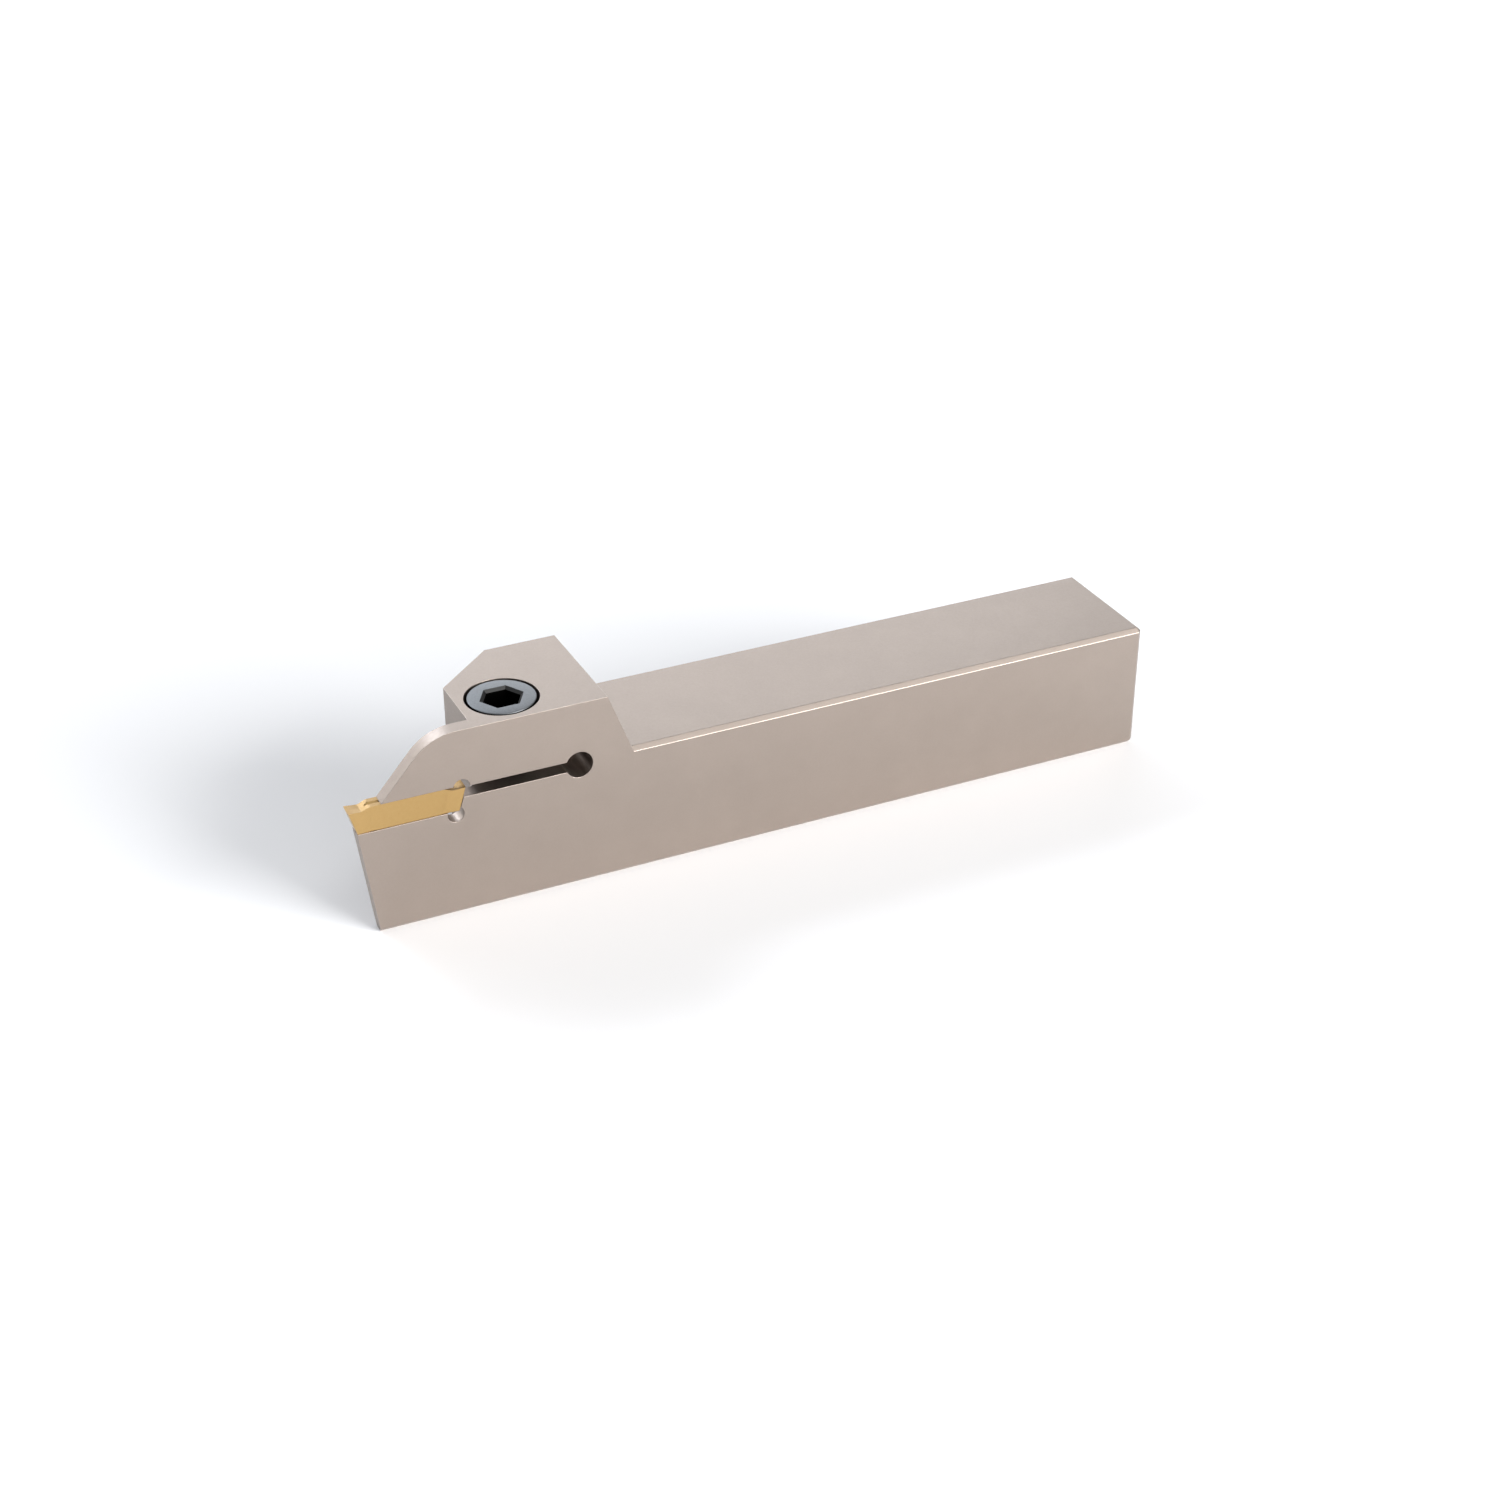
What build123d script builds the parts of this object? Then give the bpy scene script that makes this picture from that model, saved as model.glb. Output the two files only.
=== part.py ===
from build123d import *
from math import atan2, cos, isclose, radians, sin, tan
import os

# A right-hand parting and grooving holder for a lathe. One milled steel body carries the shank,
# the raised head, the thin blade under the insert and the clamp jaw over it. A slot through the
# full width frees the jaw, so that one socket screw can pull it down on the insert. The insert
# is double-ended and sits on V rails that keep it in line.
# +Z is up and the insert points towards -X. The blade is flush with the -Y side of the shank.
# The origin is on the underside, in the middle of the shank's length and width.

# Shank
shank_width = 25.0
shank_height = 25.0
shank_length = 104.8  # back end to the foot of the head
edge_chamfer = 0.8  # long edges and back end

# Head
head_rise = 11.2  # above the shank
ramp_run = 4.25  # how far the head's back leans forward
head_length = 24.45  # along the top
nose_cut_length = 11.2  # slanted corner on the far side, seen from above
nose_cut_width = 10.0

# Blade
blade_thickness = 2.85
blade_reach = 21.35  # in front of the head, at the insert's seat
blade_relief = 7.4  # degrees, front edge of the blade

# Clamp jaw
jaw_setback = 4.5  # nose of the jaw behind the front of the blade
jaw_slope = 49.0  # degrees above the horizontal
crown_radius = 10.0

# Insert
insert_length = 20.7  # over both cutting edges
insert_height = 4.85  # seat to seat
insert_crown = 0.45  # upper seat above the cutting edge
insert_overhang = 1.25  # cutting edge in front of the blade
cutting_width = 3.0
body_width = 2.8
neck_width = 2.6
neck_length = 3.0  # cutting edge to the narrowest place
corner_radius = 0.2
end_relief = 17.0  # degrees, under each cutting edge
edge_land = 0.15  # flat strip behind the cutting edge
dish_depth = 0.14  # chip dish below the cutting edge
dish_length = 2.0  # land to the foot of the chip ramp
dish_entry = 11.0  # degrees, fall of the dish behind the land
chip_ramp_length = 1.9
seat_bevel = 0.15  # lower long edges

# V rails on both seats
rail_width = 0.64
rail_height = 0.26
rail_clearance = 0.04  # square to the rail's flanks
stop_clearance = 0.08  # behind the insert

# Clamp slot and relief holes
slot_width = 1.95
slot_drop = 0.88  # middle of the slot below the cutting edge
slot_reach = 18.8  # behind the front of the head
slot_end_diameter = 5.0
relief_diameter = 3.0
upper_relief_inset = 0.7  # in front of the insert's back edge
upper_relief_rise = 0.15  # above the cutting edge
lower_relief_inset = 2.0
lower_relief_drop = 0.55  # below the insert's seat

# Clamp screw
screw_setback = 8.05  # behind the front of the head
screw_inset = 7.83  # from the blade's side of the shank
thread_diameter = 8.0
thread_clearance = 0.05  # radial
screw_length = 20.0  # under the head
screw_head_diameter = 12.0
screw_head_height = 7.0
screw_edge_break = 0.15
screw_lead = 1.0  # chamfer at the screw's end
head_gap = 0.55  # radial, round the screw's head
shank_gap = 0.3  # radial, where the screw passes the jaw
hex_size = 6.0  # across flats
hex_mouth = 0.5  # chamfer round the socket
hex_depth = 4.5
tap_runout = 2.0  # thread below the end of the screw
drill_diameter = 6.8  # tapping drill
drill_runout = 1.5  # drilled hole below the thread
drill_point = 118.0  # degrees

# Places that follow from the sizes
rear_x = shank_length / 2
foot_x = -shank_length / 2
head_rear_x = foot_x - ramp_run
head_front_x = head_rear_x - head_length
near_y = -shank_width / 2
far_y = shank_width / 2
blade_inner_y = near_y + blade_thickness
blade_mid_y = near_y + blade_thickness / 2
head_top = shank_height + head_rise
edge_z = shank_height
jaw_z = edge_z + insert_crown
seat_z = jaw_z - insert_height

blade_front_x = head_front_x - blade_reach
blade_foot_x = blade_front_x + seat_z * tan(radians(blade_relief))
edge_x = blade_front_x - insert_overhang
insert_mid_x = edge_x + insert_length / 2
insert_back_x = edge_x + insert_length
land_x = edge_x + edge_land
dish_x = land_x + dish_length
dish_z = edge_z - dish_depth
crown_x = dish_x + chip_ramp_length
relief_slope = tan(radians(end_relief))
stop_x = insert_back_x + stop_clearance
stop_top_x = stop_x + insert_crown * relief_slope
stop_seat_x = stop_top_x - insert_height * relief_slope

jaw_front_x = blade_front_x + jaw_setback
jaw_crest_x = jaw_front_x + (head_top - jaw_z) / tan(radians(jaw_slope))
crown_start_x = jaw_crest_x + crown_radius * tan(radians(jaw_slope / 2))
crown_end_x = crown_start_x - crown_radius * sin(radians(jaw_slope))
crown_end_z = head_top - crown_radius * (1 - cos(radians(jaw_slope)))

slot_z = edge_z - slot_drop
slot_end_x = head_front_x + slot_reach
screw_x = head_front_x + screw_setback
screw_y = near_y + screw_inset
head_seat_z = head_top - screw_head_height
screw_end_z = head_seat_z - screw_length
screw_radius = thread_diameter / 2 - thread_clearance
thread_end_z = screw_end_z - tap_runout
drill_end_z = thread_end_z - drill_runout
drill_cone = drill_diameter / 2 / tan(radians(drill_point / 2))

rail_flank = atan2(rail_height, rail_width / 2)
groove_width = rail_width + 2 * rail_clearance / sin(rail_flank)
groove_height = rail_height + rail_clearance / cos(rail_flank)


with BuildPart() as holder_body:
    # Side outline, with the insert's pocket open at the front
    with BuildSketch(Plane.XZ):
        with BuildLine():
            Polyline(
                (crown_end_x, crown_end_z),
                (jaw_front_x, jaw_z),
                (stop_top_x, jaw_z),
                (stop_seat_x, seat_z),
                (blade_front_x, seat_z),
                (blade_foot_x, 0),
                (rear_x, 0),
                (rear_x, shank_height),
                (foot_x, shank_height),
                (head_rear_x, head_top),
                (crown_start_x, head_top),
            )
            RadiusArc((crown_end_x, crown_end_z), (crown_start_x, head_top), crown_radius)
        make_face()
    extrude(amount=shank_width / 2, both=True)

    # The head is cut away beside the blade, and its far corner is slanted
    with BuildSketch():
        with BuildLine():
            Polyline(
                (edge_x, blade_inner_y),
                (head_front_x, blade_inner_y),
                (head_front_x, far_y - nose_cut_width),
                (head_front_x + nose_cut_length, far_y),
                (edge_x, far_y),
                close=True,
            )
        make_face()
    extrude(amount=head_top, mode=Mode.SUBTRACT)

    # Broken edges along the shank and round its back end
    long_edges = edges().filter_by(Axis.X).filter_by(lambda edge: edge.length > shank_length / 2)
    back_edges = faces().sort_by(Axis.X)[-1].edges()
    chamfer(long_edges + back_edges, length=edge_chamfer)

    # V rails on the insert's seat and under the jaw
    for start_x, base_z, height in (
        (blade_front_x, seat_z, rail_height),
        (jaw_front_x, jaw_z, -rail_height),
    ):
        with BuildSketch(Plane.YZ.offset(start_x)):
            with BuildLine():
                Polyline(
                    (blade_mid_y - rail_width / 2, base_z),
                    (blade_mid_y + rail_width / 2, base_z),
                    (blade_mid_y, base_z + height),
                    close=True,
                )
            make_face()
        extrude(amount=stop_x - start_x)

    # Slot that frees the jaw, with a round end
    with BuildSketch(Plane.XZ):
        with Locations(((stop_seat_x + slot_end_x) / 2, slot_z)):
            Rectangle(slot_end_x - stop_seat_x, slot_width)
        with Locations((slot_end_x, slot_z)):
            Circle(slot_end_diameter / 2)
    extrude(amount=shank_width / 2, both=True, mode=Mode.SUBTRACT)

    # Relief holes at the corners of the pocket
    with BuildSketch(Plane.XZ):
        with Locations(
            (insert_back_x - upper_relief_inset, edge_z + upper_relief_rise),
            (insert_back_x - lower_relief_inset, seat_z - lower_relief_drop),
        ):
            Circle(relief_diameter / 2)
    extrude(amount=shank_width / 2, both=True, mode=Mode.SUBTRACT)

    # Stepped hole for the clamp screw: counterbore, jaw, thread and drill point
    with BuildSketch(Plane.XZ.offset(-screw_y)):
        with BuildLine():
            Polyline(
                (screw_x, head_top),
                (screw_x + screw_head_diameter / 2 + head_gap, head_top),
                (screw_x + screw_head_diameter / 2 + head_gap, head_seat_z),
                (screw_x + thread_diameter / 2 + shank_gap, head_seat_z),
                (screw_x + thread_diameter / 2 + shank_gap, slot_z),
                (screw_x + thread_diameter / 2, slot_z),
                (screw_x + thread_diameter / 2, thread_end_z),
                (screw_x + drill_diameter / 2, thread_end_z),
                (screw_x + drill_diameter / 2, drill_end_z),
                (screw_x, drill_end_z - drill_cone),
                close=True,
            )
        make_face()
    revolve(axis=Axis((screw_x, screw_y, 0), (0, 0, 1)), mode=Mode.SUBTRACT)


with BuildPart() as cutting_insert:
    # Side outline: straight relief under both cutting edges, and the chip form on top
    with BuildSketch(Plane.XZ.offset(-blade_mid_y)):
        with BuildLine():
            Polyline(
                (land_x, edge_z),
                (edge_x, edge_z),
                (edge_x + (edge_z - seat_z) * relief_slope, seat_z),
                (insert_mid_x, seat_z),
            )
            Line((crown_x, jaw_z), (insert_mid_x, jaw_z))
            Spline(
                (dish_x, dish_z),
                (crown_x, jaw_z),
                tangents=((1, 0), (1, 0)),
            )
            Spline(
                (land_x, edge_z),
                (dish_x, dish_z),
                tangents=((1, -tan(radians(dish_entry))), (1, 0)),
            )
            Line((insert_mid_x, jaw_z), (insert_mid_x, seat_z))
        make_face()
        mirror(about=Plane.YZ.offset(insert_mid_x))
    extrude(amount=cutting_width / 2, both=True)

    # Plan outline: widest at the cutting edges, narrow behind them
    with BuildSketch(Plane.XY.offset(seat_z)):
        with BuildLine():
            Polyline(
                (insert_mid_x, blade_mid_y),
                (edge_x, blade_mid_y),
                (edge_x, blade_mid_y + cutting_width / 2),
                (edge_x + neck_length, blade_mid_y + neck_width / 2),
                (crown_x, blade_mid_y + body_width / 2),
                (insert_mid_x, blade_mid_y + body_width / 2),
                close=True,
            )
        make_face()
        mirror(about=Plane.YZ.offset(insert_mid_x))
        mirror(about=Plane.XZ.offset(-blade_mid_y))
    extrude(amount=insert_height, mode=Mode.INTERSECT)

    # Round corners at the ends of the cutting edges, and bevels along the lower edges
    corner_edges = edges().filter_by(
        lambda edge: isclose(abs(edge.tangent_at(0.5).Z), cos(radians(end_relief)), abs_tol=0.01)
    )
    fillet(corner_edges, radius=corner_radius)
    lower_edges = faces().sort_by(Axis.Z)[0].edges().filter_by(
        lambda edge: abs(edge.tangent_at(0.5).X) > cos(radians(end_relief))
    )
    chamfer(lower_edges, length=seat_bevel)

    # Grooves that ride on the V rails
    for base_z, height in ((seat_z, groove_height), (jaw_z, -groove_height)):
        with BuildSketch(Plane.YZ.offset(edge_x)):
            with BuildLine():
                Polyline(
                    (blade_mid_y - groove_width / 2, base_z),
                    (blade_mid_y + groove_width / 2, base_z),
                    (blade_mid_y, base_z + height),
                    close=True,
                )
            make_face()
        extrude(amount=insert_length, mode=Mode.SUBTRACT)


with BuildPart() as clamp_screw:
    # Head and shank, the threaded length as a plain cylinder
    with BuildSketch(Plane.XZ.offset(-screw_y)):
        with BuildLine():
            Polyline(
                (screw_x, head_top),
                (screw_x + screw_head_diameter / 2 - screw_edge_break, head_top),
                (screw_x + screw_head_diameter / 2, head_top - screw_edge_break),
                (screw_x + screw_head_diameter / 2, head_seat_z),
                (screw_x + screw_radius, head_seat_z),
                (screw_x + screw_radius, screw_end_z + screw_lead),
                (screw_x + screw_radius - screw_lead, screw_end_z),
                (screw_x, screw_end_z),
                close=True,
            )
        make_face()
    revolve(axis=Axis((screw_x, screw_y, 0), (0, 0, 1)))

    # Hexagon socket, two of its corners in line with the shank
    with BuildSketch(Plane.XY.offset(head_top)):
        with Locations((screw_x, screw_y)):
            RegularPolygon(hex_size / 2, 6, major_radius=False)
    extrude(amount=-hex_depth, mode=Mode.SUBTRACT)
    socket_rim = clamp_screw.faces().sort_by(Axis.Z)[-1].inner_wires()[0]
    chamfer(socket_rim.edges(), length=hex_mouth)


os.makedirs("parts", exist_ok=True)
for name, piece in (
    ("holder_body", holder_body),
    ("cutting_insert", cutting_insert),
    ("clamp_screw", clamp_screw),
):
    piece.part.label = name
    export_step(piece.part, f"parts/{name}.step")
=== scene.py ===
import math

import bmesh
import bpy
from mathutils import Matrix, Vector


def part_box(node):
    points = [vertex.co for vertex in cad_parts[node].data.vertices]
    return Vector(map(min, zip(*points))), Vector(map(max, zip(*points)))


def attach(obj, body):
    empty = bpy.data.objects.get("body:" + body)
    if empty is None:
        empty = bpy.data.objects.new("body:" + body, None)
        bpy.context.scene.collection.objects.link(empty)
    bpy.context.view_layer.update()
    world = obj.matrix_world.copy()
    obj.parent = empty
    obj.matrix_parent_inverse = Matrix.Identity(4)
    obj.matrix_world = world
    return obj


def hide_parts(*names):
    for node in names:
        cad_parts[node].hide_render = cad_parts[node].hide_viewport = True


bl_info = {
    "name": "Turning tool holder",
    "version": (1, 0, 0),
    "blender": (4, 5, 0),
    "location": "3D View > Sidebar > Tool holder",
    "description": "Dresses a parting tool holder, its insert and its clamp screw, and lights them",
    "category": "Object",
}

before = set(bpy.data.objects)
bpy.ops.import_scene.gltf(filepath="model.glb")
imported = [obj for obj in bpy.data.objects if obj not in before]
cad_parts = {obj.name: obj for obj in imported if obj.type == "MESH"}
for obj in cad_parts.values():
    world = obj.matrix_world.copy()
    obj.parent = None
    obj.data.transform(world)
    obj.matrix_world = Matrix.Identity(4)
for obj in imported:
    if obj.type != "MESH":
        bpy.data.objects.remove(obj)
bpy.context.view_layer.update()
MM = 0.001

BODY_LOW, BODY_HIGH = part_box("holder_body")
INSERT_LOW, INSERT_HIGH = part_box("cutting_insert")
SCREW_LOW, SCREW_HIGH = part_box("clamp_screw")


# ---------------------------------------------------------------- sizes and colours


class HolderSettings(bpy.types.PropertyGroup):
    """Edges and plating of the steel body"""

    edge_break: bpy.props.FloatProperty(
        name="Edge break",
        description="Rounding that blasting leaves on every sharp edge of the body",
        default=0.06 * MM,
        unit="LENGTH",
    )
    colour: bpy.props.StringProperty(
        name="Plating", description="Colour of the nickel plating, as a hex value", default="#A0948B"
    )
    edge_colour: bpy.props.StringProperty(
        name="Rubbed edge",
        description="Colour of the plating where handling polishes it, as a hex value",
        default="#AA9E95",
    )
    grain: bpy.props.FloatProperty(
        name="Blasted grain",
        description="Size of the pits that bead blasting leaves, drawn coarse enough to show",
        default=0.35 * MM,
        unit="LENGTH",
    )
    cloud: bpy.props.FloatProperty(
        name="Plating clouds",
        description="Size of the faint clouds in the plating",
        default=9 * MM,
        unit="LENGTH",
    )


class InsertSettings(bpy.types.PropertyGroup):
    """Form and coating of the double-ended insert"""

    cutting_width: bpy.props.FloatProperty(
        name="Cutting width", description="Over each cutting edge", default=3.0 * MM, unit="LENGTH"
    )
    neck_width: bpy.props.FloatProperty(
        name="Neck width",
        description="Narrowest place, behind each cutting edge",
        default=2.6 * MM,
        unit="LENGTH",
    )
    body_width: bpy.props.FloatProperty(
        name="Body width", description="Between the two necks", default=2.8 * MM, unit="LENGTH"
    )
    neck_length: bpy.props.FloatProperty(
        name="Neck length",
        description="Cutting edge to the narrowest place",
        default=3.0 * MM,
        unit="LENGTH",
    )
    corner_radius: bpy.props.FloatProperty(
        name="Corner radius", description="Corners of the cutting edges", default=0.2 * MM, unit="LENGTH"
    )
    edge_land: bpy.props.FloatProperty(
        name="Edge land", description="Flat strip behind each cutting edge", default=0.15 * MM, unit="LENGTH"
    )
    dish_length: bpy.props.FloatProperty(
        name="Dish length", description="Land to the foot of the chip ramp", default=2.0 * MM, unit="LENGTH"
    )
    dish_depth: bpy.props.FloatProperty(
        name="Dish depth", description="Chip dish below the cutting edge", default=0.14 * MM, unit="LENGTH"
    )
    bowl: bpy.props.FloatProperty(
        name="Bowl",
        description="How much deeper the dish is in the middle of its width",
        default=0.06 * MM,
        unit="LENGTH",
    )
    ramp_length: bpy.props.FloatProperty(
        name="Chip ramp",
        description="Foot of the chip ramp to the upper seat",
        default=1.9 * MM,
        unit="LENGTH",
    )
    crown: bpy.props.FloatProperty(
        name="Crown", description="Upper seat above the cutting edge", default=0.45 * MM, unit="LENGTH"
    )
    groove_width: bpy.props.FloatProperty(
        name="Groove width",
        description="Mouth of the V grooves that ride on the rails",
        default=0.767 * MM,
        unit="LENGTH",
    )
    groove_depth: bpy.props.FloatProperty(
        name="Groove depth",
        description="Depth of the V grooves that ride on the rails",
        default=0.3115 * MM,
        unit="LENGTH",
    )
    seat_bevel: bpy.props.FloatProperty(
        name="Seat bevel", description="Lower long edges", default=0.15 * MM, unit="LENGTH"
    )
    relief: bpy.props.FloatProperty(
        name="End relief", description="Under each cutting edge", default=math.radians(17), subtype="ANGLE"
    )
    colour: bpy.props.StringProperty(
        name="Coating",
        description="Colour of the titanium nitride coating, as a hex value",
        default="#BE9D66",
    )
    grain: bpy.props.FloatProperty(
        name="Sintered grain",
        description="Size of the specks in the coating, drawn coarse enough to show",
        default=0.12 * MM,
        unit="LENGTH",
    )


class ScrewSettings(bpy.types.PropertyGroup):
    """Form and finish of the clamp screw"""

    diameter: bpy.props.FloatProperty(
        name="Thread", description="Outer diameter of the thread", default=7.9 * MM, unit="LENGTH"
    )
    pitch: bpy.props.FloatProperty(
        name="Pitch",
        description="Distance from one thread turn to the next",
        default=1.25 * MM,
        unit="LENGTH",
    )
    lead: bpy.props.FloatProperty(
        name="Lead", description="Chamfer at the end of the screw", default=1.0 * MM, unit="LENGTH"
    )
    head_height: bpy.props.FloatProperty(
        name="Head height", description="Height of the head", default=7.0 * MM, unit="LENGTH"
    )
    edge_break: bpy.props.FloatProperty(
        name="Edge break", description="Rounding of the head's upper edge", default=0.15 * MM, unit="LENGTH"
    )
    hex_size: bpy.props.FloatProperty(
        name="Hexagon", description="Across the flats of the socket", default=6.0 * MM, unit="LENGTH"
    )
    hex_mouth: bpy.props.FloatProperty(
        name="Mouth", description="Chamfer round the socket", default=0.5 * MM, unit="LENGTH"
    )
    hex_depth: bpy.props.FloatProperty(
        name="Socket depth", description="Depth of the socket's flats", default=4.5 * MM, unit="LENGTH"
    )
    colour: bpy.props.StringProperty(
        name="Bare steel", description="Colour of the head's ground top, as a hex value", default="#777A7D"
    )
    oxide_colour: bpy.props.StringProperty(
        name="Black oxide", description="Colour of the rest of the screw, as a hex value", default="#0B0B0C"
    )
    # The mouth is partly rubbed oxide and partly a painted highlight, as light as the lit band on its
    # chamfer
    mouth_wear_and_light: bpy.props.StringProperty(
        name="Rubbed mouth",
        description="Colour where keys rub the oxide off the socket, as a hex value",
        default="#404244",
    )
    # Near-black painted shade for the socket below its mouth, where the shade falls
    socket_painted_shade: bpy.props.StringProperty(
        name="Socket",
        description="Colour of the dull oxide in the socket, as a hex value",
        default="#030303",
    )
    grain: bpy.props.FloatProperty(
        name="Ground specks",
        description="Size of the specks on the head's top, drawn coarse enough to show",
        default=0.3 * MM,
        unit="LENGTH",
    )


class StudioSettings(bpy.types.PropertyGroup):
    """Camera, floor and lamps"""

    azimuth: bpy.props.FloatProperty(
        name="Azimuth",
        description="Camera's angle round the object",
        default=math.radians(-25.326),
        subtype="ANGLE",
    )
    elevation: bpy.props.FloatProperty(
        name="Elevation",
        description="Camera's angle above the floor",
        default=math.radians(30.422),
        subtype="ANGLE",
    )
    distance: bpy.props.FloatProperty(
        name="Distance", description="Camera to the point it looks at", default=460.7 * MM, unit="LENGTH"
    )
    look_at: bpy.props.FloatVectorProperty(
        name="Look at",
        description="Point in the middle of the picture",
        default=(-25.5 * MM, -3.4 * MM, 13.0 * MM),
        subtype="TRANSLATION",
        unit="LENGTH",
    )
    lens: bpy.props.FloatProperty(name="Lens", description="Focal length in millimetres", default=60.47)
    floor_colour: bpy.props.StringProperty(
        name="Floor", description="Colour of the floor, as a hex value", default="#FCFCFD"
    )


# ---------------------------------------------------------------- shared tools


def linear(hex_colour):
    """An sRGB hex value as linear red, green, blue and alpha."""
    channels = [int(hex_colour[i : i + 2], 16) / 255 for i in (1, 3, 5)]
    return (*(c / 12.92 if c <= 0.04045 else ((c + 0.055) / 1.055) ** 2.4 for c in channels), 1.0)


def shade(colour, *shares):
    """A linear colour with its channels scaled, by one share or by three, and kept within white."""
    if len(shares) == 1:
        shares *= 3
    return (*(min(1.0, channel * share) for channel, share in zip(colour, shares)), 1.0)


def feed(tree, node, inputs):
    """Fill a node's inputs. inputs maps a socket's name or place to a value, a socket or a node."""
    for socket, value in inputs.items():
        if isinstance(value, bpy.types.Node):
            value = value.outputs[0]
        if isinstance(value, bpy.types.NodeSocket):
            tree.links.new(value, node.inputs[socket])
        else:
            node.inputs[socket].default_value = value


def add_node(tree, kind, inputs=None, **settings):
    """Add a node to a tree, with its settings by name and its inputs as feed takes them."""
    node = tree.nodes.new(kind)
    for name, value in settings.items():
        setattr(node, name, value)
    feed(tree, node, inputs or {})
    return node


def calc(tree, operation, *values):
    """Add a maths node. Each value is a number, a socket or a node."""
    return add_node(tree, "ShaderNodeMath", dict(enumerate(values)), operation=operation)


def remap(tree, value, source=(0.0, 1.0), target=(0.0, 1.0), kind="LINEAR"):
    """Add a node that maps the source range to the target range, and stops at the target's ends."""
    limits = dict(zip(("From Min", "From Max", "To Min", "To Max"), (*source, *target)))
    return add_node(tree, "ShaderNodeMapRange", {"Value": value, **limits}, interpolation_type=kind)


def new_material(name):
    """An empty node material with its shader linked to its output."""
    material = bpy.data.materials.new(name)
    material.use_nodes = True
    tree = material.node_tree
    tree.nodes.clear()
    shader = add_node(tree, "ShaderNodeBsdfPrincipled")
    add_node(tree, "ShaderNodeOutputMaterial", {"Surface": shader.outputs[0]})
    return material, tree, shader


def noise(tree, place, scale, detail, roughness):
    """Add a noise texture with scale patches to the metre."""
    inputs = {"Vector": place, "Scale": scale, "Detail": detail, "Roughness": roughness}
    return add_node(tree, "ShaderNodeTexNoise", inputs)


def mix(tree, share, first, second):
    """Add a node that mixes two colours, and return the mixed one."""
    return add_node(tree, "ShaderNodeMix", {0: share, 6: first, 7: second}, data_type="RGBA").outputs[2]


def pits(tree, height, strength, depth):
    """Add fine surface pits, which are too shallow for geometry."""
    return add_node(tree, "ShaderNodeBump", {"Height": height, "Strength": strength, "Distance": depth})


def new_shape_tree(name, sockets):
    """An empty Geometry Nodes tree with named inputs. sockets maps an input's name to its kind."""
    tree = bpy.data.node_groups.new(name, "GeometryNodeTree")
    for label, kind in sockets.items():
        tree.interface.new_socket(label, in_out="INPUT", socket_type=kind)
    tree.interface.new_socket("Geometry", in_out="OUTPUT", socket_type="NodeSocketGeometry")
    return tree, add_node(tree, "NodeGroupInput").outputs


def close_shape_tree(tree, shape, material):
    """End a tree as every shape here ends: real geometry, with its material set."""
    real = add_node(tree, "GeometryNodeRealizeInstances", {0: shape})
    painted = add_node(tree, "GeometryNodeSetMaterial", {"Geometry": real, "Material": material})
    add_node(tree, "NodeGroupOutput", {0: painted})


def grow(tree, values):
    """Run a Geometry Nodes tree with its inputs set by name, and return what it makes as a plain mesh."""
    carrier = bpy.data.objects.new(tree.name, bpy.data.meshes.new(tree.name))
    bpy.context.scene.collection.objects.link(carrier)
    modifier = carrier.modifiers.new(tree.name, "NODES")
    modifier.node_group = tree
    for item in tree.interface.items_tree:
        if item.in_out == "INPUT":
            modifier[item.identifier] = values[item.name]
    depsgraph = bpy.context.evaluated_depsgraph_get()
    mesh = bpy.data.meshes.new_from_object(carrier.evaluated_get(depsgraph), depsgraph=depsgraph)
    carrier.modifiers.remove(modifier)
    bpy.data.objects.remove(carrier)
    if not mesh.polygons:
        raise RuntimeError(f"{tree.name} made no faces")
    return mesh


def new_piece(name, mesh, materials, body, node):
    """Link a finished mesh as a piece that stands for a CAD node, and rides on that node's body."""
    piece = bpy.data.objects.new(name, mesh)
    bpy.context.scene.collection.objects.link(piece)
    # Emptying a mesh's slots puts every face in the first one, so the faces' slots are kept. A shape
    # from Geometry Nodes comes with an empty slot before its own, and its faces move to the first.
    last = len(materials) - 1
    slots = [min(polygon.material_index, last) for polygon in mesh.polygons]
    mesh.materials.clear()
    for material in materials:
        mesh.materials.append(material)
    mesh.polygons.foreach_set("material_index", slots)
    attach(piece, body)
    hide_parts(node)
    return piece


# ---------------------------------------------------------------- materials


# The range that holds most of a noise texture's values
NOISE_SPAN = (0.3, 0.7)


def plated_steel(name, colour, settings, roughness):
    """Electroless nickel on bead-blasted tool steel.

    It is warm grey and silky, and a thin film of oil pales its sheen.
    """
    material, tree, shader = new_material(name)
    place = add_node(tree, "ShaderNodeTexCoord").outputs["Object"]
    clouds = noise(tree, place, 1 / settings.cloud, detail=3.0, roughness=0.6)
    grain = noise(tree, place, 1 / settings.grain, detail=2.0, roughness=0.7)
    base = linear(colour)
    tone = mix(tree, clouds, shade(base, 0.93), shade(base, 1.04))
    sheen = remap(tree, grain, NOISE_SPAN, (roughness - 0.05, roughness + 0.05))
    finish = {
        "Base Color": tone,
        "Roughness": sheen,
        "Normal": pits(tree, grain, 0.25, 0.01 * MM),
        "Metallic": 1.0,
        "Coat Weight": 0.25,
        "Coat Roughness": roughness,
    }
    feed(tree, shader, finish)
    return material


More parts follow.
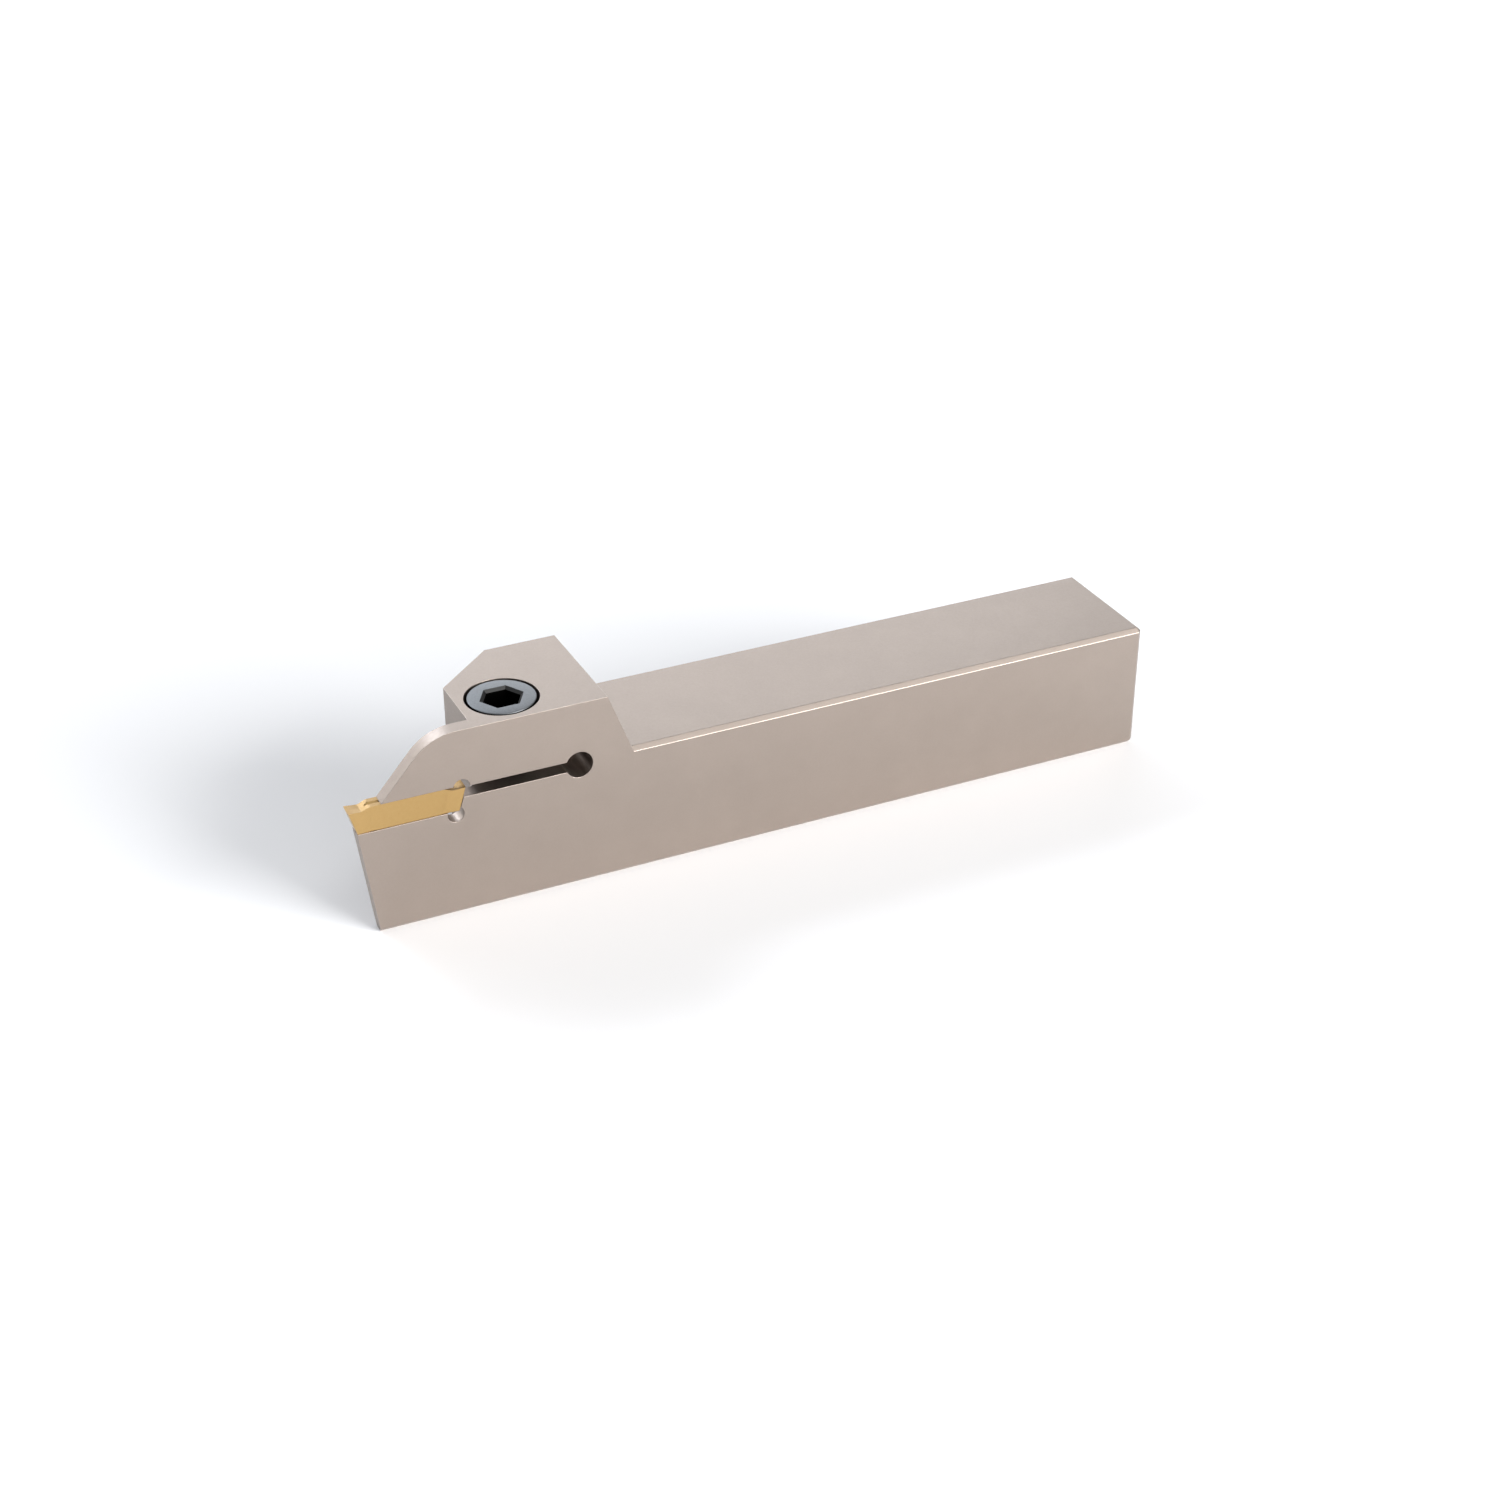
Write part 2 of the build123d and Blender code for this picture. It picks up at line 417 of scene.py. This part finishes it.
def nitride_carbide(settings):
    """Titanium nitride on cemented carbide: satin gold.

    It is smooth on the ground sides and duller on the top that comes unground from the press, and faces
    turning upwards carry a little painted shade.
    """
    material, tree, shader = new_material("titanium_nitride_on_carbide")
    source = add_node(tree, "ShaderNodeTexCoord")
    place = source.outputs["Object"]
    upright = add_node(tree, "ShaderNodeSeparateXYZ", {0: source.outputs["Normal"]})
    facing_up = calc(tree, "MAXIMUM", upright.outputs["Z"], 0.0)
    specks = noise(tree, place, 1 / settings.grain, detail=2.0, roughness=0.7)
    streaks = noise(tree, place, 0.2 / settings.grain, detail=3.0, roughness=0.6)
    base = linear(settings.colour)
    tone = mix(tree, streaks, shade(base, 0.97, 0.93, 0.86), shade(base, 1.04))
    # Painted shade: the more a face turns up, the darker it is, by up to 14 in 100
    top_painted_shade = calc(tree, "MULTIPLY", facing_up, 0.14)
    tone = mix(tree, top_painted_shade, tone, (0, 0, 0, 1))
    speckled = remap(tree, specks, NOISE_SPAN, (0.27, 0.35))
    finish = {
        "Base Color": tone,
        "Roughness": calc(tree, "MULTIPLY_ADD", facing_up, 0.2, speckled),
        "Normal": pits(tree, specks, 0.2, 0.004 * MM),
        "Metallic": 1.0,
        "Coat Weight": 0.4,
        "Coat Roughness": 0.32,
    }
    feed(tree, shader, finish)
    return material


def ground_steel(settings):
    """Face-ground screw steel: blue-grey, with a salt and pepper of grinding specks."""
    material, tree, shader = new_material("ground_screw_steel")
    place = add_node(tree, "ShaderNodeTexCoord").outputs["Object"]
    specks = noise(tree, place, 1 / settings.grain, detail=4.0, roughness=0.8)
    base = linear(settings.colour)
    share = remap(tree, specks, (0.35, 0.65))
    finish = {
        "Base Color": mix(tree, share, shade(base, 0.86), shade(base, 1.12)),
        "Roughness": remap(tree, specks, target=(0.36, 0.5)),
        "Normal": pits(tree, specks, 0.25, 0.008 * MM),
        "Metallic": 1.0,
    }
    feed(tree, shader, finish)
    return material


def black_oxide(name, colour, settings, roughness, metallic=1.0):
    """Black oxide on hardened steel: a thin dark skin with a dull sheen, faintly brown where it is thin.

    With metallic at 0 it is painted shade instead: near-black, no metal and hardly shining, laid where the
    socket's shade falls.
    """
    material, tree, shader = new_material(name)
    place = add_node(tree, "ShaderNodeTexCoord").outputs["Object"]
    blotches = noise(tree, place, 0.25 / settings.grain, detail=3.0, roughness=0.6)
    base = linear(colour)
    finish = {
        "Base Color": mix(tree, blotches, base, shade(base, 1.5, 1.35, 1.2)),
        "Roughness": remap(tree, blotches, target=(roughness - 0.07, roughness + 0.07)),
        "Metallic": metallic,
        # With no metal the specular goes too, so the painted shade hardly shines
        "Specular IOR Level": 0.5 if metallic else 0.0,
    }
    feed(tree, shader, finish)
    return material


# ---------------------------------------------------------------- pieces


class TOOLHOLDER_OT_body(bpy.types.Operator):
    """Dress the steel body, with its sharp edges broken"""

    bl_idname = "toolholder.body"
    bl_label = "Steel body"

    def execute(self, context):
        settings = context.scene.toolholder_body
        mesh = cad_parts["holder_body"].data.copy()
        work = bmesh.new()
        work.from_mesh(mesh)
        bmesh.ops.remove_doubles(work, verts=work.verts, dist=0.0005 * MM)
        bmesh.ops.dissolve_limit(work, angle_limit=math.radians(0.5), verts=work.verts, edges=work.edges)
        work.to_mesh(mesh)
        work.free()
        mesh.materials.clear()
        rough = bpy.data.objects.new("holder_rough", mesh)
        context.scene.collection.objects.link(rough)
        bevel = rough.modifiers.new("Edge break", "BEVEL")
        bevel.width = settings.edge_break
        bevel.segments = 2
        bevel.limit_method = "ANGLE"
        bevel.angle_limit = math.radians(25)
        bevel.material = 1
        bevel.use_clamp_overlap = False
        weighted = rough.modifiers.new("Flat faces stay flat", "WEIGHTED_NORMAL")
        weighted.weight = 100
        weighted.keep_sharp = True
        for polygon in mesh.polygons:
            polygon.use_smooth = True
        # Two slots, so that the bevel can mark its faces as the rubbed edge
        for _ in range(2):
            mesh.materials.append(None)
        depsgraph = context.evaluated_depsgraph_get()
        finished = bpy.data.meshes.new_from_object(rough.evaluated_get(depsgraph))
        bpy.data.objects.remove(rough)
        steel = plated_steel("nickel_plated_steel", settings.colour, settings, 0.42)
        edge = plated_steel("nickel_rubbed_edge", settings.edge_colour, settings, 0.38)
        new_piece("holder_steel", finished, (steel, edge), "holder", "holder_body")
        return {"FINISHED"}


# In the box that becomes the insert, from -1 to 1: the slice across it that comes to lie on the
# groove's edge, and the top of its lowest layer
GROOVE_SLICE = 0.5
LOWEST_LAYER = -0.75


def insert_tree():
    """A double-ended parting insert, shaped from a box by each point's distance from the nearer edge."""
    length = "NodeSocketFloat"
    tree, given = new_shape_tree(
        "parting_insert",
        {
            "Middle": "NodeSocketVector",
            "Length": length,
            "Seat below edge": length,
            "Cutting width": length,
            "Neck width": length,
            "Body width": length,
            "Neck length": length,
            "Corner radius": length,
            "Edge land": length,
            "Dish length": length,
            "Dish depth": length,
            "Bowl": length,
            "Ramp length": length,
            "Crown": length,
            "Groove width": length,
            "Groove depth": length,
            "Seat bevel": length,
            "Relief slope": "NodeSocketFloat",
            "Coating": "NodeSocketMaterial",
        },
    )
    box = add_node(
        tree,
        "GeometryNodeMeshCube",
        {"Size": (2, 2, 2), "Vertices X": 161, "Vertices Y": 17, "Vertices Z": 9},
    )
    position = add_node(tree, "GeometryNodeInputPosition")
    place = add_node(tree, "ShaderNodeSeparateXYZ", {0: position}).outputs

    # Distance from the nearer end, with the box's slices crowded towards the cutting edges
    end = calc(tree, "SIGN", place["X"])
    along = calc(tree, "ABSOLUTE", place["X"])
    inward = calc(tree, "SUBTRACT", 1.0, along)
    crowded = calc(tree, "POWER", inward, 2.0)
    half_length = calc(tree, "MULTIPLY", given["Length"], 0.5)
    depth = calc(tree, "MULTIPLY", crowded, half_length)

    # Plan: widest at the edge, narrowest at the neck, and round at the two corners
    half_cut = calc(tree, "MULTIPLY", given["Cutting width"], 0.5)
    half_neck = calc(tree, "MULTIPLY", given["Neck width"], 0.5)
    half_body = calc(tree, "MULTIPLY", given["Body width"], 0.5)
    dish_end = calc(tree, "ADD", given["Edge land"], given["Dish length"])
    ramp_end = calc(tree, "ADD", dish_end, given["Ramp length"])
    to_neck = remap(tree, depth, (0.0, given["Neck length"]), (half_cut, half_neck))
    swell = calc(tree, "SUBTRACT", half_body, half_neck)
    to_body = remap(tree, depth, (given["Neck length"], ramp_end), (0.0, swell))
    straight = calc(tree, "ADD", to_neck, to_body)
    short = calc(tree, "SUBTRACT", given["Corner radius"], depth)
    short = calc(tree, "MAXIMUM", short, 0.0)
    short_squared = calc(tree, "MULTIPLY", short, short)
    radius_squared = calc(tree, "MULTIPLY", given["Corner radius"], given["Corner radius"])
    chord_squared = calc(tree, "SUBTRACT", radius_squared, short_squared)
    chord = calc(tree, "SQRT", chord_squared)
    rounding = calc(tree, "SUBTRACT", given["Corner radius"], chord)
    half_width = calc(tree, "SUBTRACT", straight, rounding)

    # Across: one slice of the box lies on the groove's edge, and its underside is drawn in by the bevel
    underside = calc(tree, "LESS_THAN", place["Z"], (LOWEST_LAYER - 1) / 2)
    drawn_in = calc(tree, "MULTIPLY", underside, given["Seat bevel"])
    half_here = calc(tree, "SUBTRACT", half_width, drawn_in)
    half_groove = calc(tree, "MULTIPLY", given["Groove width"], 0.5)
    beyond = calc(tree, "SUBTRACT", half_here, half_groove)
    across = calc(tree, "ABSOLUTE", place["Y"])
    inner = remap(tree, across, (0.0, GROOVE_SLICE), (0.0, half_groove))
    outer = remap(tree, across, (GROOVE_SLICE, 1.0), (0.0, beyond))
    offside = calc(tree, "ADD", inner, outer)
    side = calc(tree, "SIGN", place["Y"])
    new_y = calc(tree, "MULTIPLY", offside, side)

    # Chip form: land, bowl-shaped dish, ramp and upper seat, all measured from the cutting edge
    sunk = calc(tree, "MULTIPLY", given["Dish depth"], -1.0)
    dish = remap(tree, depth, (given["Edge land"], dish_end), (0.0, sunk), kind="SMOOTHSTEP")
    climb = calc(tree, "ADD", given["Dish depth"], given["Crown"])
    ramp = remap(tree, depth, (dish_end, ramp_end), (0.0, climb), kind="SMOOTHSTEP")
    profile = calc(tree, "ADD", dish, ramp)
    opening = remap(tree, depth, (given["Edge land"], dish_end), (0.0, given["Bowl"]), kind="SMOOTHSTEP")
    closing = remap(tree, depth, (dish_end, ramp_end), (1.0, 0.0), kind="SMOOTHSTEP")
    hollow = calc(tree, "MULTIPLY", opening, closing)
    across_squared = calc(tree, "MULTIPLY", across, across)
    level = calc(tree, "SUBTRACT", 1.0, across_squared)
    hollow = calc(tree, "MULTIPLY", hollow, level)
    chip_form = calc(tree, "SUBTRACT", profile, hollow)

    # V grooves: rising into the lower seat, and sinking into the upper one
    flank = calc(tree, "DIVIDE", given["Groove depth"], half_groove)
    rise = calc(tree, "MULTIPLY", offside, flank)
    groove = calc(tree, "SUBTRACT", given["Groove depth"], rise)
    groove_floor = calc(tree, "SUBTRACT", given["Crown"], groove)
    top = calc(tree, "MINIMUM", chip_form, groove_floor)
    groove_roof = calc(tree, "MAXIMUM", groove, 0.0)
    bottom = calc(tree, "SUBTRACT", groove_roof, given["Seat below edge"])

    # Height: the bevel takes the box's lowest layer, and the rest is shared out evenly
    bevel_left = calc(tree, "SUBTRACT", given["Seat bevel"], drawn_in)
    base = calc(tree, "ADD", bottom, bevel_left)
    up = remap(tree, place["Z"], (LOWEST_LAYER, 1.0))
    height = calc(tree, "SUBTRACT", top, base)
    new_z = calc(tree, "MULTIPLY_ADD", height, up, base)

    # Ends lean in under the cutting edges, less and less towards the middle
    below = calc(tree, "MINIMUM", new_z, 0.0)
    lean = calc(tree, "MULTIPLY", below, given["Relief slope"])
    fading = calc(tree, "SUBTRACT", 1.0, crowded)
    lean = calc(tree, "MULTIPLY", lean, fading)
    reach = calc(tree, "SUBTRACT", half_length, depth)
    reach = calc(tree, "ADD", reach, lean)
    new_x = calc(tree, "MULTIPLY", reach, end)

    shaped = add_node(tree, "ShaderNodeCombineXYZ", {"X": new_x, "Y": new_y, "Z": new_z})
    placed = add_node(tree, "ShaderNodeVectorMath", {0: shaped, 1: given["Middle"]}, operation="ADD")
    moved = add_node(tree, "GeometryNodeSetPosition", {"Geometry": box, "Position": placed})
    close_shape_tree(tree, moved, given["Coating"])
    return tree


class TOOLHOLDER_OT_insert(bpy.types.Operator):
    """Shape the double-ended insert, with its chip form and grooves, and coat it"""

    bl_idname = "toolholder.insert"
    bl_label = "Insert"

    def execute(self, context):
        settings = context.scene.toolholder_insert
        coating = nitride_carbide(settings)
        middle = (INSERT_LOW + INSERT_HIGH) / 2
        edge_height = INSERT_HIGH.z - settings.crown
        mesh = grow(
            insert_tree(),
            {
                "Middle": (middle.x, middle.y, edge_height),
                "Length": INSERT_HIGH.x - INSERT_LOW.x,
                "Seat below edge": edge_height - INSERT_LOW.z,
                "Cutting width": settings.cutting_width,
                "Neck width": settings.neck_width,
                "Body width": settings.body_width,
                "Neck length": settings.neck_length,
                "Corner radius": settings.corner_radius,
                "Edge land": settings.edge_land,
                "Dish length": settings.dish_length,
                "Dish depth": settings.dish_depth,
                "Bowl": settings.bowl,
                "Ramp length": settings.ramp_length,
                "Crown": settings.crown,
                "Groove width": settings.groove_width,
                "Groove depth": settings.groove_depth,
                "Seat bevel": settings.seat_bevel,
                "Relief slope": math.tan(settings.relief),
                "Coating": coating,
            },
        )
        mesh.polygons.foreach_set("use_smooth", [True] * len(mesh.polygons))
        mesh.set_sharp_from_angle(angle=math.radians(30))
        new_piece("insert_carbide", mesh, (coating,), "insert", "cutting_insert")
        return {"FINISHED"}


# Metric thread, as shares of its pitch: middle of a crest to its edge and to the root, and the depth
CREST_END = 1 / 16
ROOT_START = 3 / 8
THREAD_DEPTH = 0.6134


def thread_tree():
    """A screw thread: a fine cylinder whose radius follows the helix, and that runs out at both ends."""
    tree, given = new_shape_tree(
        "screw_thread",
        {
            "Top": "NodeSocketVector",
            "Length": "NodeSocketFloat",
            "Diameter": "NodeSocketFloat",
            "Pitch": "NodeSocketFloat",
            "Depth": "NodeSocketFloat",
            "Run-out": "NodeSocketFloat",
            "Lead": "NodeSocketFloat",
            "Steel": "NodeSocketMaterial",
        },
    )
    radius = calc(tree, "MULTIPLY", given["Diameter"], 0.5)
    rod = add_node(
        tree,
        "GeometryNodeMeshCylinder",
        {
            "Vertices": 48,
            "Side Segments": 240,
            "Fill Segments": 1,
            "Radius": radius,
            "Depth": given["Length"],
        },
        fill_type="TRIANGLE_FAN",
    )
    position = add_node(tree, "GeometryNodeInputPosition")
    place = add_node(tree, "ShaderNodeSeparateXYZ", {0: position}).outputs
    half_length = calc(tree, "MULTIPLY", given["Length"], 0.5)
    from_end = calc(tree, "ADD", place["Z"], half_length)
    from_head = calc(tree, "SUBTRACT", half_length, place["Z"])

    # Distance from the nearest crest in turns, and the flat-topped V that it gives
    angle = calc(tree, "ARCTAN2", place["Y"], place["X"])
    turn = calc(tree, "MULTIPLY", angle, 1 / math.tau)
    turns = calc(tree, "DIVIDE", from_end, given["Pitch"])
    helix = calc(tree, "SUBTRACT", turns, turn)
    within = calc(tree, "PINGPONG", helix, 0.5)
    flank = remap(tree, within, (CREST_END, ROOT_START))
    easing = remap(tree, from_head, (0.0, given["Run-out"]))
    cut = calc(tree, "MULTIPLY", flank, easing)
    cut = calc(tree, "MULTIPLY", cut, given["Depth"])
    threaded = calc(tree, "SUBTRACT", radius, cut)
    cone_foot = calc(tree, "SUBTRACT", radius, given["Lead"])
    cone = calc(tree, "ADD", cone_foot, from_end)
    kept = calc(tree, "MINIMUM", threaded, cone)
    share = calc(tree, "DIVIDE", kept, radius)

    new_x = calc(tree, "MULTIPLY", place["X"], share)
    new_y = calc(tree, "MULTIPLY", place["Y"], share)
    new_z = calc(tree, "SUBTRACT", place["Z"], half_length)
    shaped = add_node(tree, "ShaderNodeCombineXYZ", {"X": new_x, "Y": new_y, "Z": new_z})
    placed = add_node(tree, "ShaderNodeVectorMath", {0: shaped, 1: given["Top"]}, operation="ADD")
    moved = add_node(tree, "GeometryNodeSetPosition", {"Geometry": rod, "Position": placed})
    close_shape_tree(tree, moved, given["Steel"])
    return tree


def socket_head(centre, radius, settings):
    """A socket head of rings: circles from the underside to the top, then hexagons down the socket."""
    around = 96
    rim_steps = 4
    under_bevel = 0.1 * MM
    drilled_step = 0.1 * MM
    drilled_depth = 1.0 * MM
    drilled_share = 0.86  # of the hexagon's size
    flat = settings.hex_size / 2
    top = centre.z
    seat = top - settings.head_height
    floor = top - settings.hex_depth
    rounding = settings.edge_break
    mouth = settings.hex_mouth
    circles = [(radius - under_bevel, seat), (radius, seat + under_bevel), (radius, top - rounding)]
    for step in range(1, rim_steps + 1):
        angle = math.radians(90 * step / rim_steps)
        circles.append((radius - rounding * (1 - math.cos(angle)), top - rounding * (1 - math.sin(angle))))
    hexagons = [
        (flat + mouth, top),
        (flat, top - mouth),
        (flat, floor),
        (flat * drilled_share, floor - drilled_step),
    ]

    work = bmesh.new()
    rings = []
    for shape, sizes in (("circle", circles), ("hexagon", hexagons)):
        for size, height in sizes:
            ring = []
            for step in range(around):
                angle = math.tau * step / around
                reach = size
                if shape == "hexagon":
                    reach /= math.cos(angle % (math.tau / 6) - math.tau / 12)
                x = centre.x + reach * math.cos(angle)
                y = centre.y + reach * math.sin(angle)
                ring.append(work.verts.new((x, y, height)))
            rings.append(ring)
    for lower, upper in zip(rings, rings[1:]):
        for step in range(around):
            after = (step + 1) % around
            work.faces.new((lower[step], lower[after], upper[after], upper[step]))
    for ring, height in ((rings[0], seat), (rings[-1], floor - drilled_depth)):
        middle = work.verts.new((centre.x, centre.y, height))
        for step in range(around):
            work.faces.new((ring[step], ring[(step + 1) % around], middle))
    bmesh.ops.recalc_face_normals(work, faces=work.faces)

    # Slots: 0 bare, on the ground top and its rim, 1 oxide, 2 rubbed mouth with a painted highlight, 3
    # painted shade in the socket
    hair = 0.001 * MM
    mouth_corner = (flat + mouth) / math.cos(math.pi / 6)
    for face in work.faces:
        face.smooth = True
        middle = face.calc_center_median()
        lowest = min(vert.co.z for vert in face.verts)
        outside = math.hypot(middle.x - centre.x, middle.y - centre.y) > mouth_corner
        if lowest > top - (rounding if outside else 0) - hair:
            face.material_index = 0
        elif outside or middle.z < seat + under_bevel:
            face.material_index = 1
        # The mouth's chamfer: rubbed oxide with a painted highlight
        elif lowest > top - mouth - hair:
            face.material_index = 2
        # Below the mouth the socket is painted shade
        else:
            face.material_index = 3
    mesh = bpy.data.meshes.new("screw_head")
    work.to_mesh(mesh)
    work.free()
    mesh.set_sharp_from_angle(angle=math.radians(30))
    return mesh


class TOOLHOLDER_OT_screw(bpy.types.Operator):
    """Make the clamp screw: its socket head and its threaded shank"""

    bl_idname = "toolholder.screw"
    bl_label = "Clamp screw"

    def execute(self, context):
        settings = context.scene.toolholder_screw
        bare = ground_steel(settings)
        oxide = black_oxide("black_oxide_steel", settings.oxide_colour, settings, 0.45)
        # The mouth: rubbed oxide, painted lighter as a highlight
        rubbed = black_oxide("rubbed_mouth_painted_lit", settings.mouth_wear_and_light, settings, 0.45)
        # Painted shade for the socket: near-black, no metal, no shine
        socket_shade_paint = black_oxide("painted_socket_shade", settings.socket_painted_shade, settings, 0.8, metallic=0.0)
        centre = (SCREW_LOW + SCREW_HIGH) / 2
        centre.z = SCREW_HIGH.z
        head = socket_head(centre, (SCREW_HIGH.x - SCREW_LOW.x) / 2, settings)
        new_piece("screw_head", head, (bare, oxide, rubbed, socket_shade_paint), "screw", "clamp_screw")
        overlap = 0.3 * MM
        thread = grow(
            thread_tree(),
            {
                "Top": (centre.x, centre.y, centre.z - settings.head_height + overlap),
                "Length": centre.z - settings.head_height + overlap - SCREW_LOW.z,
                "Diameter": settings.diameter,
                "Pitch": settings.pitch,
                "Depth": settings.pitch * THREAD_DEPTH,
                "Run-out": 2 * settings.pitch,
                "Lead": settings.lead,
                "Steel": oxide,
            },
        )
        thread.polygons.foreach_set("use_smooth", [True] * len(thread.polygons))
        thread.set_sharp_from_angle(angle=math.radians(40))
        new_piece("screw_thread", thread, (oxide,), "screw", "clamp_screw")
        return {"FINISHED"}


# Each softbox: compass angle from the front towards the right, height angle, width and height in
# metres, brightness, where 1 is as bright as a lit white wall, and tint. All stand 3 m away.
LAMPS = {
    "key_softbox": (34, 20, (1.8, 1.6), 14.8, "#FFFFFF"),
    "front_strip": (5, 14, (2.0, 1.0), 4.2, "#FFFFFF"),
    "top_softbox": (14, 60, (1.0, 0.8), 2.8, "#FFFFFF"),
    "far_right_softbox": (156, 21, (1.6, 1.6), 2.3, "#F8FBFF"),
    "far_left_softbox": (-145, 18, (1.4, 1.4), 2.45, "#FAFCFF"),
    "crown_softbox": (-167, 36, (1.5, 0.7), 9.2, "#EEF5FF"),
}
LAMP_DISTANCE = 3.0
WORLD_LEVEL = 0.3
FLOOR_REACH = 4.0


class TOOLHOLDER_OT_studio(bpy.types.Operator):
    """Set up the camera, the floor and the lamps"""

    bl_idname = "toolholder.studio"
    bl_label = "Studio"

    def execute(self, context):
        settings = context.scene.toolholder_studio
        scene = context.scene
        scene.view_settings.view_transform = "Standard"
        aim = Vector(settings.look_at)
        away = Vector(
            (
                math.sin(settings.azimuth) * math.cos(settings.elevation),
                -math.cos(settings.azimuth) * math.cos(settings.elevation),
                math.sin(settings.elevation),
            )
        )
        camera = bpy.data.objects.new("camera", bpy.data.cameras.new("camera"))
        camera.data.sensor_width = 36.0
        camera.data.lens = settings.lens
        camera.data.clip_start = 10 * MM
        camera.location = aim + away * settings.distance
        camera.rotation_euler = (math.pi / 2 - settings.elevation, 0, settings.azimuth)
        scene.collection.objects.link(camera)
        scene.camera = camera

        floor_mesh = bpy.data.meshes.new("studio_floor")
        work = bmesh.new()
        bmesh.ops.create_grid(work, x_segments=1, y_segments=1, size=FLOOR_REACH)
        work.to_mesh(floor_mesh)
        work.free()
        floor = bpy.data.objects.new("studio_floor", floor_mesh)
        scene.collection.objects.link(floor)
        material, tree, shader = new_material("matt_white_paper")
        feed(tree, shader, {"Base Color": linear(settings.floor_colour), "Roughness": 0.9})
        floor_mesh.materials.append(material)

        for name, (compass, height, size, brightness, tint) in LAMPS.items():
            lamp = bpy.data.lights.new(name, "AREA")
            lamp.shape = "RECTANGLE"
            lamp.size, lamp.size_y = size
            lamp.energy = brightness * math.pi * size[0] * size[1]
            lamp.color = linear(tint)[:3]
            stand = bpy.data.objects.new(name, lamp)
            swing = Matrix.Rotation(math.radians(compass), 3, "Z")
            tilt = Matrix.Rotation(math.radians(-height), 3, "X")
            stand.location = aim + swing @ tilt @ Vector((0, -LAMP_DISTANCE, 0))
            stand.rotation_euler = (aim - stand.location).to_track_quat("-Z", "Y").to_euler()
            scene.collection.objects.link(stand)

        world = bpy.data.worlds.new("studio_light")
        world.use_nodes = True
        scene.world = world
        tree = world.node_tree
        tree.nodes.clear()
        light = {"Color": (1, 1, 1, 1), "Strength": WORLD_LEVEL}
        background = add_node(tree, "ShaderNodeBackground", light)
        add_node(tree, "ShaderNodeOutputWorld", {"Surface": background})
        return {"FINISHED"}


class TOOLHOLDER_PT_panel(bpy.types.Panel):
    """The pieces of the tool holder, in the order that they are made"""

    bl_idname = "TOOLHOLDER_PT_panel"
    bl_label = "Tool holder"
    bl_space_type = "VIEW_3D"
    bl_region_type = "UI"
    bl_category = "Tool holder"

    def draw(self, context):
        for operator in OPERATORS:
            self.layout.operator(operator.bl_idname)


OPERATORS = (TOOLHOLDER_OT_body, TOOLHOLDER_OT_insert, TOOLHOLDER_OT_screw, TOOLHOLDER_OT_studio)
SETTINGS = {
    "toolholder_body": HolderSettings,
    "toolholder_insert": InsertSettings,
    "toolholder_screw": ScrewSettings,
    "toolholder_studio": StudioSettings,
}


def register():
    for group in SETTINGS.values():
        bpy.utils.register_class(group)
    for name, group in SETTINGS.items():
        setattr(bpy.types.Scene, name, bpy.props.PointerProperty(type=group))
    for operator in OPERATORS:
        bpy.utils.register_class(operator)
    bpy.utils.register_class(TOOLHOLDER_PT_panel)


def unregister():
    bpy.utils.unregister_class(TOOLHOLDER_PT_panel)
    for operator in reversed(OPERATORS):
        bpy.utils.unregister_class(operator)
    for name, group in SETTINGS.items():
        delattr(bpy.types.Scene, name)
        bpy.utils.unregister_class(group)


def main():
    register()
    bpy.ops.toolholder.body()
    bpy.ops.toolholder.insert()
    bpy.ops.toolholder.screw()
    bpy.ops.toolholder.studio()


if __name__ == "__main__":
    main()
